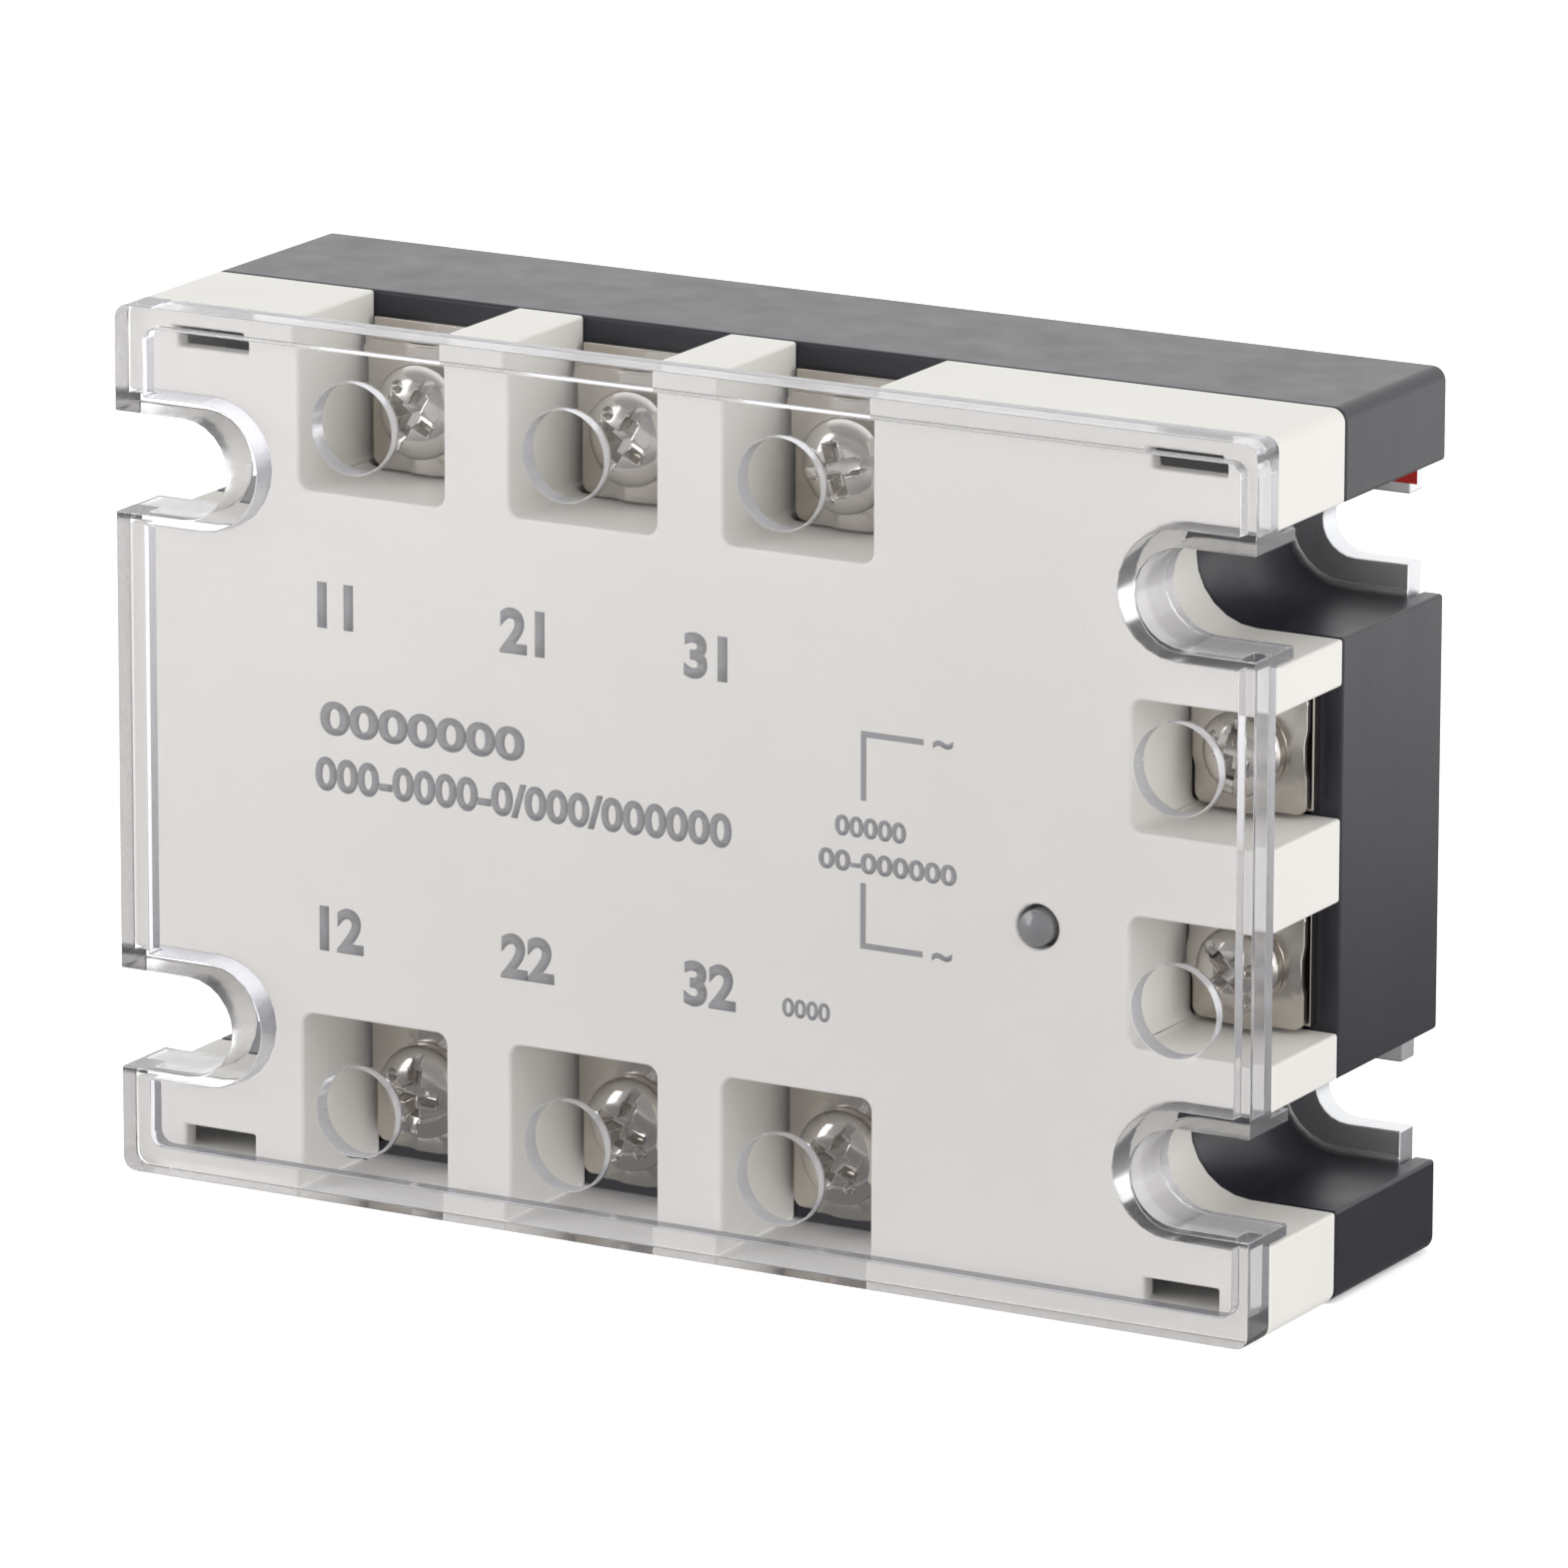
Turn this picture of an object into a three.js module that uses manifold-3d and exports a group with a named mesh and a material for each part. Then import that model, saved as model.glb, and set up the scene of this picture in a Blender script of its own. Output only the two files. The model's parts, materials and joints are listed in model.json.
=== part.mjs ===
// Three-phase solid state relay with screw terminals, as an assembly of separate pieces.
// Millimetres. +X runs to the input terminals, +Z up to the line terminals, and the clear cover faces -Y.
// The origin is at the middle of the bottom edge face. Depths count from the cover's front face backwards.
import * as THREE from "three";
import { mergeVertices } from "three/addons/utils/BufferGeometryUtils.js";
import Module from "manifold-3d";

const wasm = await Module();
wasm.setup();

// ---- Overall sizes ----
const bodyLength = 105;
const bodyHeight = 73.5;
const bodyDepth = 33;
const cornerRadius = 1.2;
const filletSteps = 5;

// ---- Layers, as depths from the cover's front face ----
const coverThickness = 1.8;
const housingFront = 3.8;
const collarBack = 6.7;
const seamDepth = 15.2;
const plateThickness = 2.5;
const plateFront = bodyDepth - plateThickness;

// ---- Walls ----
const coverRimWall = 2;
const coverHoleRadius = 3.75;
const coverHoleInset = 8;
const housingWall = 1.8;
const bayWall = 1.4;
const caseWall = 2.9;
const caseRimWall = 1.85;
const plateFit = 0.15;

// ---- Mounting notches in the corners ----
const notchPitch = 47.2;
const notchRadius = 5.5;
const notchCentreInset = 7.55;
const notchSteps = 12;
const collarGap = 0.2;
const collarWall = 1.1;
const coverSlotCentreInset = 6.5;
const plateSlotRadius = 2.9;
const plateSlotCentreInset = 6.8;
const seatRadius = 5.1;
const seatDepth = 0.1;

// ---- Terminals ----
const bayPitch = 19.85;
const firstBayFromLeft = 22.6;
const inputPitch = 17.7;
const bayCornerRadius = 1;
const tabThickness = 1.1;
const tabEdgeInset = 1.95;
const tabSideGap = 0.5;
const legGap = 0.8;
const housingToTabGap = 0.3;
const clampThickness = 0.7;
const wireGap = 0.6;
const saddleRise = 0.5;
const saddleHalfWidth = 1;
const saddleSlope = 1.1;
const pedestalThickness = 5.4;
const wallOverlap = 1;
const nutPocketGap = 0.2;
const boltClearance = 0.3;
const threadClearance = 0.35;
const roundSteps = 24;
const clampCornerRadius = 1;

const powerScrew = { thread: 4, headRadius: 4, headHeight: 2.5, length: 8.2, nutWidth: 7, nutThickness: 3 };
const inputScrew = {
  thread: 3.5, headRadius: 3.5, headHeight: 2.3, length: 7.8, nutWidth: 6, nutThickness: 2.8,
};
const lineBay = { width: 13.7, depth: 14.4, screwInset: 8.65, clampWidth: 11.4, clampLength: 11, legWidth: 8 };
const loadBay = { width: 13.7, depth: 14.9, screwInset: 7.25, clampWidth: 11.4, clampLength: 11, legWidth: 8 };
const inputBay = { width: 10.8, depth: 12.5, screwInset: 6.9, clampWidth: 10, clampLength: 10, legWidth: 6 };
const inputHoleSpread = 1;

// ---- Screw heads, the shares being of the head's height or radius ----
const headSideShare = 0.35;
const domeSteps = 5;
const domeFullness = 0.55;
const recessDepthShare = 0.65;
const recessArmShare = 0.56;
const recessArmHalfShare = 0.15;
const slotHalfWidth = 0.45;
const slotDepthShare = 0.3;
const dotRadius = 0.5;
const dotDepthShare = 0.4;
const dotReachShare = 0.66;
const dotAngle = Math.PI / 3;
const tipChamfer = 0.5;

// ---- Electronics ----
const boardThickness = 1.6;
const boardFront = 18.5;
const boardGap = 1;
const ledgeThickness = 2.5;
const ledgeReach = 2.5;
const ledgeShare = 0.6;
const substrateWidth = 15;
const substrateThickness = 1;
const substrateOverlap = 3;
const dieSize = 7;
const dieThickness = 0.5;
const dieGap = 2.6;
const pinWidth = 0.8;
const wireWidth = 0.5;
const wirePitch = 2.54;
const bodyStandOff = 0.6;
const optocoupler = { width: 7.2, length: 6.5, height: 3.4, pins: 3 };
const bridge = { width: 8.4, length: 6.4, height: 3.2, pins: 2 };
const capacitor = { width: 13, length: 6, height: 8.5, pins: 2 };
const resistor = { width: 4.4, length: 11, height: 4.2, pins: 1 };
const capacitorShift = 4;
const upperRowShare = 0.6;
const lowerRowShare = 0.5;
const indicatorFromRight = 20.75;
const indicatorBelowMiddle = 5.45;
const indicatorRadius = 1.5;
const indicatorHoleRadius = 1.85;
const indicatorProud = 0.8;
const indicatorBarrel = 4;
const indicatorFlange = 1;
const indicatorFlangeReach = 0.3;

// ---- Snap slots and tongues ----
const snapSlotWidth = 6.7;
const snapSlotHeight = 1.9;
const snapSlotInset = 7.6;
const tongueThickness = 1.3;
const tongueGap = 0.2;
const tongueFront = 9.9;

const middleHeight = bodyHeight / 2;
const seatFront = plateFront + seatDepth;
const tabFront = seamDepth - tabThickness;
const clampBack = tabFront - wireGap;
const clampFront = clampBack - clampThickness;
const saddleFront = clampFront - saddleRise;
const boardBack = boardFront + boardThickness;
const substrateFront = plateFront - substrateThickness;
const dieFront = substrateFront - dieThickness;
const past = 1;

// ---- Geometry helpers ----
function atDepth(depth) {
  return depth - bodyDepth / 2;
}

function fromLeft(distance) {
  return distance - bodyLength / 2;
}

// A box between two widths, two heights and two depths.
function block(x0, x1, z0, z1, front, back) {
  const box = new THREE.BoxGeometry(x1 - x0, back - front, z1 - z0);
  return box.translate((x0 + x1) / 2, atDepth((front + back) / 2), (z0 + z1) / 2);
}

// A square post or flat block centred on a point of the front view.
function post(x, z, width, front, back) {
  const half = width / 2;
  return block(x - half, x + half, z - half, z + half, front, back);
}

// A flat outline drawn in width and height, filled from one depth to another.
function slab(outline, front, back) {
  const settings = { depth: back - front, bevelEnabled: false, curveSegments: filletSteps };
  const geometry = new THREE.ExtrudeGeometry(outline, settings);
  return geometry.rotateX(Math.PI / 2).translate(0, atDepth(back), 0);
}

// A round bar along the depth, whose two ends may differ in radius.
function rod(x, z, frontRadius, backRadius, front, back, steps = roundSteps) {
  const bar = new THREE.CylinderGeometry(backRadius, frontRadius, back - front, steps);
  return bar.translate(x, atDepth((front + back) / 2), z);
}

function roundedOutline(x0, x1, z0, z1, radius) {
  const outline = new THREE.Shape();
  outline.absarc(x1 - radius, z0 + radius, radius, -Math.PI / 2, 0);
  outline.absarc(x1 - radius, z1 - radius, radius, 0, Math.PI / 2);
  outline.absarc(x0 + radius, z1 - radius, radius, Math.PI / 2, Math.PI);
  outline.absarc(x0 + radius, z0 + radius, radius, Math.PI, Math.PI * 1.5);
  return outline;
}

// The body's own outline, drawn in by an inset.
function bodyOutline(inset, radius) {
  return roundedOutline(fromLeft(inset), fromLeft(bodyLength - inset), inset, bodyHeight - inset, radius);
}

function solidOf(geometry) {
  const bare = geometry.index ? geometry.toNonIndexed() : geometry.clone();
  bare.deleteAttribute("normal");
  bare.deleteAttribute("uv");
  const merged = mergeVertices(bare, 1e-4);
  const triVerts = new Uint32Array(merged.index.array);
  const vertProperties = merged.attributes.position.array;
  return new wasm.Manifold(new wasm.Mesh({ numProp: 3, vertProperties, triVerts }));
}

function join(first, ...others) {
  return others.reduce((whole, piece) => whole.add(solidOf(piece)), solidOf(first));
}

function cut(whole, cutters) {
  return cutters.reduce((rest, cutter) => rest.subtract(solidOf(cutter)), whole);
}

function geometryOf(solid) {
  const mesh = solid.getMesh();
  const geometry = new THREE.BufferGeometry();
  geometry.setAttribute("position", new THREE.BufferAttribute(mesh.vertProperties, 3));
  geometry.setIndex(new THREE.BufferAttribute(mesh.triVerts, 1));
  const faceted = geometry.toNonIndexed();
  faceted.computeVertexNormals();
  return faceted;
}

// ---- Finishes ----
function finish(color, roughness, metalness, extra = {}) {
  return new THREE.MeshStandardMaterial({ color, roughness, metalness, ...extra });
}

const ivoryPlastic = finish(0xe3e0d8, 0.42, 0);
const blackPlastic = finish(0x2b2b2e, 0.38, 0);
const clearPlastic = finish(0xeef0f6, 0.06, 0, { transparent: true, opacity: 0.3 });
const aluminium = finish(0xd3d5d6, 0.42, 1);
const nickel = finish(0xc9c2b8, 0.2, 1);
const steel = finish(0xa9a9a6, 0.32, 1);
const boardResin = finish(0x2f6b3c, 0.55, 0);
const greyLens = finish(0x77777b, 0.25, 0);
const ceramic = finish(0xf2efe6, 0.5, 0);
const silicon = finish(0x4a4d57, 0.25, 0.4);
const mouldedBlack = finish(0x1d1d1f, 0.5, 0);
const filmBox = finish(0xc9a13a, 0.5, 0);
const resistorCoat = finish(0x8fa9a3, 0.55, 0);

function piece(name, solid, material) {
  const mesh = new THREE.Mesh(geometryOf(solid), material);
  mesh.name = name;
  return mesh;
}

// ---- The four notches ----
const notchPlaces = [-1, 1].flatMap((side) => [-1, 1].map((row) => ({ side, row })));

// A U open to the nearer end of the body, with its arc centred at an inset from that end.
function notchOutline({ side, row }, centreInset, radius) {
  const centreX = side * (bodyLength / 2 - centreInset);
  const openX = side * (bodyLength / 2 + past);
  const z = middleHeight + (row * notchPitch) / 2;
  const outline = new THREE.Shape();
  const turn = Math.PI / notchSteps;
  outline.moveTo(openX, z - side * radius);
  outline.lineTo(openX, z + side * radius);
  for (let step = 0; step <= notchSteps; step += 1) {
    const angle = side * (Math.PI / 2) + step * turn;
    outline.lineTo(centreX + side * Math.abs(Math.cos(angle)) * -radius, z + Math.sin(angle) * radius);
  }
  outline.closePath();
  return outline;
}

function notches(centreInset, radius, front, back) {
  return notchPlaces.map((place) => slab(notchOutline(place, centreInset, radius), front, back));
}

// ---- The eight terminals ----
// Each is drawn in a frame of its own: X across the bay, Z inward from the body's edge, Y the depth.
function terminalFrame(x, z, turn) {
  return new THREE.Matrix4().makeRotationY(turn).setPosition(x, 0, z);
}

// How far each screw happens to be turned, in degrees.
const lineTurns = [60, 60, 195];
const loadTurns = [85, 250, 245];
const inputTurns = [80, -45];

function powerTerminals(label, bay, edgeHeight, turn, screwTurns) {
  return screwTurns.map((screwTurn, index) => {
    const x = fromLeft(firstBayFromLeft + index * bayPitch);
    const frame = terminalFrame(x, edgeHeight, turn);
    return { name: `${label}_${index + 1}`, bay, screw: powerScrew, frame, screwTurn };
  });
}

function inputTerminals() {
  return inputTurns.map((screwTurn, index) => {
    const z = middleHeight + (0.5 - index) * inputPitch;
    const frame = terminalFrame(fromLeft(bodyLength), z, -Math.PI / 2);
    return { name: `input_${index + 1}`, bay: inputBay, screw: inputScrew, frame, screwTurn };
  });
}

const lineTerminals = powerTerminals("line", lineBay, bodyHeight, Math.PI, lineTurns);
const loadTerminals = powerTerminals("load", loadBay, 0, 0, loadTurns);
const controlTerminals = inputTerminals();
const terminals = [...lineTerminals, ...loadTerminals, ...controlTerminals];

// The inner legs of the line and load terminals, and the stretch between them.
const lineLegHeight = bodyHeight - lineBay.depth - legGap - tabThickness;
const loadLegHeight = loadBay.depth + legGap + tabThickness;
const dieSpan = 2 * dieSize + 3 * dieGap;
const footReach = (lineLegHeight - loadLegHeight - dieSpan) / 2;
const loadFootEnd = loadLegHeight + footReach;
const lineFootEnd = lineLegHeight - footReach;

function bayOutline(bay) {
  const half = bay.width / 2;
  const r = bayCornerRadius;
  const outline = new THREE.Shape();
  outline.moveTo(-half, -past);
  outline.lineTo(half, -past);
  outline.absarc(half - r, bay.depth - r, r, 0, Math.PI / 2);
  outline.absarc(r - half, bay.depth - r, r, Math.PI / 2, Math.PI);
  outline.closePath();
  return outline;
}

function bayHollow({ bay, frame }) {
  return slab(bayOutline(bay), housingFront - past, seamDepth + past).applyMatrix4(frame);
}

// The material kept round a bay inside the housing's hollow.
function bayShell({ bay, frame }) {
  const half = bay.width / 2 + bayWall;
  return block(-half, half, -past, bay.depth + bayWall, housingFront, seamDepth + past).applyMatrix4(frame);
}

// The pocket in the housing's bay wall where the terminal tab passes beneath it.
function tabPassage({ bay, frame }) {
  const half = bay.width / 2 - tabSideGap + housingToTabGap;
  const inner = bay.depth + legGap + tabThickness + housingToTabGap;
  const front = tabFront - housingToTabGap;
  return block(-half, half, bay.depth - past, inner, front, seamDepth + past).applyMatrix4(frame);
}

function busbar({ name, bay, screw, frame }) {
  const half = bay.width / 2 - tabSideGap;
  const legHalf = bay.legWidth / 2;
  const legInner = bay.depth + legGap;
  const legOuter = legInner + tabThickness;
  const parts = [block(-half, half, tabEdgeInset, legOuter, tabFront, seamDepth)];
  if (screw === powerScrew) {
    const footFront = substrateFront - tabThickness;
    parts.push(block(-legHalf, legHalf, legInner, legOuter, tabFront, substrateFront));
    parts.push(block(-legHalf, legHalf, legInner, legOuter + footReach, footFront, substrateFront));
  } else {
    parts.push(block(-legHalf, legHalf, legInner, legOuter, tabFront, boardFront));
  }
  const hole = rod(0, bay.screwInset, screw.thread / 2 + boltClearance, screw.thread / 2 + boltClearance,
    tabFront - past, seamDepth + past);
  const solid = cut(join(...parts), [hole]);
  return placed(piece(`${name}_busbar`, solid, nickel), frame);
}

// The raised band of a saddle clamp, as a folded strip of even thickness.
function saddleOutline(bay) {
  const half = bay.clampWidth / 2;
  const flank = saddleHalfWidth + saddleSlope;
  const front = [[-half, 0], [-flank, 0], [-saddleHalfWidth, saddleRise], [saddleHalfWidth, saddleRise],
    [flank, 0], [half, 0]];
  const back = front.map(([x, rise]) => [x, rise - clampThickness]).reverse();
  return new THREE.Shape([...front, ...back].reverse().map(([x, rise]) => new THREE.Vector2(x, rise)));
}

function clampPlate({ name, bay, screw, frame }) {
  const settings = { depth: bay.clampLength, bevelEnabled: false };
  const strip = new THREE.ExtrudeGeometry(saddleOutline(bay), settings);
  // The strip's profile rises towards the cover, and its length runs inward from the body's edge.
  strip.rotateZ(Math.PI).translate(0, atDepth(clampFront), bay.screwInset - bay.clampLength / 2);
  const half = bay.clampWidth / 2;
  const inner = bay.screwInset + bay.clampLength / 2;
  const outer = bay.screwInset - bay.clampLength / 2;
  const corners = roundedOutline(-half, half, outer, inner, clampCornerRadius);
  const rounded = slab(corners, saddleFront - past, clampBack + past);
  const dishBase = screw.headRadius + saddleSlope;
  const dish = rod(0, bay.screwInset, screw.headRadius, dishBase, saddleFront, clampFront);
  const holeRadius = screw.thread / 2 + threadClearance;
  const hole = rod(0, bay.screwInset, holeRadius, holeRadius, saddleFront - past, clampBack + past);
  const solid = cut(join(strip, dish).intersect(solidOf(rounded)), [hole]);
  return placed(piece(`${name}_clamp`, solid, nickel), frame);
}

function nut({ name, bay, screw, frame }) {
  const half = screw.nutWidth / 2;
  const back = seamDepth + screw.nutThickness;
  const body = block(-half, half, bay.screwInset - half, bay.screwInset + half, seamDepth, back);
  const boreRadius = screw.thread / 2 + threadClearance / 2;
  const bore = rod(0, bay.screwInset, boreRadius, boreRadius, seamDepth - past, back + past);
  return placed(piece(`${name}_nut`, cut(join(body), [bore]), steel), frame);
}

// A pan head with a cross recess, one driver slot and a punched dot.
function terminalScrew({ name, bay, screw, frame, screwTurn }) {
  const { headRadius, headHeight, length, thread } = screw;
  const sideHeight = headHeight * headSideShare;
  const shankRadius = thread / 2 - threadClearance / 2;
  const tip = saddleFront + length;
  const profile = [[0, tip], [shankRadius - tipChamfer, tip], [shankRadius, tip - tipChamfer],
    [shankRadius, saddleFront], [headRadius, saddleFront], [headRadius, saddleFront - sideHeight]];
  for (let step = 1; step <= domeSteps; step += 1) {
    const angle = (step / domeSteps) * (Math.PI / 2);
    const rise = sideHeight + (headHeight - sideHeight) * Math.sin(angle);
    const radius = step < domeSteps ? headRadius * Math.cos(angle) ** domeFullness : 0;
    profile.push([radius, saddleFront - rise]);
  }
  const points = profile.map(([radius, depth]) => new THREE.Vector2(radius, atDepth(depth)));
  const body = new THREE.LatheGeometry(points.reverse(), roundSteps);
  const headTop = saddleFront - headHeight;
  const recessBottom = headTop + headHeight * recessDepthShare;
  const slotBottom = headTop + headHeight * slotDepthShare;
  const dotBottom = headTop + headHeight * dotDepthShare;
  const arm = headRadius * recessArmShare;
  const armHalf = headRadius * recessArmHalfShare;
  const slotReach = headRadius + past;
  const dotX = headRadius * dotReachShare * Math.cos(dotAngle);
  const dotZ = headRadius * dotReachShare * Math.sin(dotAngle);
  const turned = cut(join(body), [
    block(-arm, arm, -armHalf, armHalf, headTop - past, recessBottom),
    block(-armHalf, armHalf, -arm, arm, headTop - past, recessBottom),
    block(-slotReach, slotReach, -slotHalfWidth, slotHalfWidth, headTop - past, slotBottom),
    rod(dotX, dotZ, dotRadius, dotRadius, headTop - past, dotBottom, roundSteps / 2),
  ]);
  const mesh = piece(`${name}_screw`, turned, nickel);
  const spin = new THREE.Matrix4().makeRotationY(-THREE.MathUtils.degToRad(screwTurn));
  const upright = new THREE.Matrix4().extractRotation(frame).invert();
  const seat = new THREE.Matrix4().makeTranslation(0, 0, bay.screwInset);
  return placed(mesh, frame.clone().multiply(seat).multiply(upright).multiply(spin));
}

function placed(mesh, matrix) {
  matrix.decompose(mesh.position, mesh.quaternion, mesh.scale);
  return mesh;
}

// ---- Base plate ----
function basePlate() {
  const inset = caseRimWall + plateFit;
  const whole = join(slab(bodyOutline(inset, cornerRadius), plateFront, bodyDepth));
  const slots = notches(plateSlotCentreInset, plateSlotRadius, plateFront - past, bodyDepth + past);
  const seats = notches(notchCentreInset, seatRadius, plateFront - past, seatFront);
  return piece("base_plate", cut(whole, [...slots, ...seats]), aluminium);
}

// ---- Black case ----
function pedestal({ bay, frame }) {
  const half = bay.width / 2;
  const back = seamDepth + pedestalThickness;
  return block(-half, half, caseWall - wallOverlap, bay.depth, seamDepth, back).applyMatrix4(frame);
}

function nutPocket({ bay, screw, frame }) {
  const half = screw.nutWidth / 2 + nutPocketGap;
  const z0 = bay.screwInset - half;
  const z1 = bay.screwInset + half;
  const back = seamDepth + screw.nutThickness + nutPocketGap;
  return block(-half, half, z0, z1, seamDepth - past, back).applyMatrix4(frame);
}

function pedestalBore({ bay, screw, frame }) {
  const radius = screw.thread / 2 + boltClearance;
  const back = seamDepth + pedestalThickness + past;
  return rod(0, bay.screwInset, radius, radius, seamDepth - past, back).applyMatrix4(frame);
}

const snapPlaces = [-1, 1].flatMap((side) => [-1, 1].map((row) => ({ side, row })));

// A box beside a snap slot, between two insets from the nearer long edge.
function snapBlock({ side, row }, width, insetOuter, insetInner, front, back) {
  const x = side * (bodyLength / 2 - snapSlotInset);
  const z0 = row > 0 ? bodyHeight - insetInner : insetOuter;
  const z1 = row > 0 ? bodyHeight - insetOuter : insetInner;
  return block(x - width / 2, x + width / 2, z0, z1, front, back);
}

function tongues() {
  const outer = housingWall + tongueGap;
  const width = snapSlotWidth - 2 * tongueGap;
  const rooted = seamDepth + ledgeThickness;
  const inner = outer + tongueThickness;
  return snapPlaces.map((place) => snapBlock(place, width, outer, inner, tongueFront, rooted));
}

const boardLeft = fromLeft(notchCentreInset + notchRadius + bayWall + boardGap);
const boardRight = fromLeft(bodyLength - inputBay.depth - legGap / 2);
const boardHalf = Math.min(
  notchPitch / 2 - notchRadius - bayWall - boardGap,
  (lineLegHeight - loadLegHeight) / 2 - boardGap - tabThickness,
);

function boardLedges() {
  const z0 = middleHeight - boardHalf * ledgeShare;
  const z1 = middleHeight + boardHalf * ledgeShare;
  const back = boardBack + ledgeThickness;
  return [
    block(fromLeft(caseWall - wallOverlap), boardLeft + ledgeReach, z0, z1, boardBack, back),
    block(boardRight - ledgeReach, boardRight + ledgeReach, z0, z1, boardBack, back),
  ];
}

function lowerCase() {
  const outer = slab(bodyOutline(0, cornerRadius), seamDepth, bodyDepth);
  const hollow = cut(
    join(slab(bodyOutline(caseWall, cornerRadius), seamDepth - past, plateFront)),
    notches(notchCentreInset, notchRadius + bayWall, seamDepth - past, bodyDepth),
  );
  const recess = slab(bodyOutline(caseRimWall, cornerRadius), plateFront, bodyDepth + past);
  const shell = cut(solidOf(outer).subtract(hollow), [recess]);
  const furnished = [...terminals.map(pedestal), ...boardLedges(), ...tongues()]
    .reduce((whole, part) => whole.add(solidOf(part)), shell);
  const cutters = [
    ...notches(notchCentreInset, notchRadius, seamDepth - past, bodyDepth + past),
    ...terminals.map(nutPocket),
    ...terminals.map(pedestalBore),
  ];
  return piece("lower_case", cut(furnished, cutters), blackPlastic);
}

// ---- Ivory housing ----
const indicatorX = fromLeft(bodyLength - indicatorFromRight);
const indicatorZ = middleHeight - indicatorBelowMiddle;

function upperHousing() {
  const innerFront = housingFront + housingWall;
  const outer = slab(bodyOutline(0, cornerRadius), housingFront, seamDepth);
  const corners = notches(notchCentreInset, notchRadius + bayWall, housingFront, seamDepth + past);
  const hollow = cut(
    join(slab(bodyOutline(housingWall, cornerRadius), innerFront, seamDepth + past)),
    [...terminals.map(bayShell), ...corners],
  );
  const cutters = [
    ...notches(notchCentreInset, notchRadius, housingFront - past, seamDepth + past),
    ...terminals.map(bayHollow),
    ...terminals.map(tabPassage),
    ...snapPlaces.map((place) => snapBlock(place, snapSlotWidth, housingWall, housingWall + snapSlotHeight,
      housingFront - past, innerFront + past)),
    rod(indicatorX, indicatorZ, indicatorHoleRadius, indicatorHoleRadius,
      housingFront - past, innerFront + past),
  ];
  return piece("upper_housing", cut(solidOf(outer).subtract(hollow), cutters), ivoryPlastic);
}

// ---- Clear cover ----
const coverSlotRadius = notchRadius - collarGap - collarWall;

function coverHole({ bay, frame }) {
  // The input holes stand a little further apart than the input screws do.
  const across = bay === inputBay ? Math.sign(frame.elements[14] - middleHeight) * inputHoleSpread : 0;
  const inset = bay === inputBay ? bay.screwInset : coverHoleInset;
  const back = coverThickness + past;
  return rod(across, inset, coverHoleRadius, coverHoleRadius, -past, back, 2 * roundSteps).applyMatrix4(frame);
}

function clearCover() {
  const plate = slab(bodyOutline(0, cornerRadius), 0, housingFront);
  const inside = bodyOutline(coverRimWall, cornerRadius);
  const tray = solidOf(plate).subtract(solidOf(slab(inside, coverThickness, housingFront + past)));
  const ends = solidOf(slab(bodyOutline(0, cornerRadius), 0, collarBack));
  const collars = notches(notchCentreInset, notchRadius - collarGap, 0, collarBack)
    .reduce((whole, collar) => whole.add(solidOf(collar).intersect(ends)), tray);
  const cutters = [
    ...notches(coverSlotCentreInset, coverSlotRadius, -past, collarBack + past),
    ...terminals.map(coverHole),
  ];
  return piece("clear_cover", cut(collars, cutters), clearPlastic);
}

// ---- Electronics ----
function driverBoard() {
  const bottom = middleHeight - boardHalf;
  const top = middleHeight + boardHalf;
  const board = block(boardLeft, boardRight, bottom, top, boardFront, boardBack);
  return piece("driver_board", join(board), boardResin);
}

// A flanged, round-nosed lamp on two legs that stand on the board.
function indicator() {
  const nose = housingFront - indicatorProud;
  const shoulder = nose + indicatorRadius;
  const flange = shoulder + indicatorBarrel;
  const base = flange + indicatorFlange;
  const flangeRadius = indicatorRadius + indicatorFlangeReach;
  const steps = 6;
  const profile = [[0, base], [flangeRadius, base], [flangeRadius, flange], [indicatorRadius, flange]];
  for (let step = 0; step <= steps; step += 1) {
    const angle = (step / steps) * (Math.PI / 2);
    const radius = step < steps ? indicatorRadius * Math.cos(angle) : 0;
    profile.push([radius, shoulder - indicatorRadius * Math.sin(angle)]);
  }
  const points = profile.map(([radius, depth]) => new THREE.Vector2(radius, atDepth(depth)));
  const lamp = new THREE.LatheGeometry(points.reverse(), 16).translate(indicatorX, 0, indicatorZ);
  const legs = [-1, 1].map((side) =>
    post(indicatorX + (side * wirePitch) / 2, indicatorZ, wireWidth, base - wireWidth / 2, boardFront));
  return piece("indicator_led", join(lamp, ...legs), greyLens);
}

function phaseX(phase) {
  return fromLeft(firstBayFromLeft + phase * bayPitch);
}

// Each phase has a ceramic substrate with two thyristor chips, and a gate pin from each chip to the board.
function phaseParts(phase) {
  const x = phaseX(phase);
  const middle = (loadFootEnd + lineFootEnd) / 2;
  const half = substrateWidth / 2;
  const plate = block(x - half, x + half, loadFootEnd - substrateOverlap, lineFootEnd + substrateOverlap,
    substrateFront, plateFront);
  const parts = [piece(`substrate_${phase + 1}`, join(plate), ceramic)];
  for (const [letter, side] of [["a", 1], ["b", -1]]) {
    const z = middle + (side * (dieSize + dieGap)) / 2;
    const chip = post(x, z, dieSize, dieFront, substrateFront);
    parts.push(piece(`thyristor_${phase + 1}${letter}`, join(chip), silicon));
    const pin = post(x, z, pinWidth, boardBack, dieFront);
    parts.push(piece(`gate_pin_${phase + 1}${letter}`, join(pin), nickel));
  }
  return parts;
}

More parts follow.
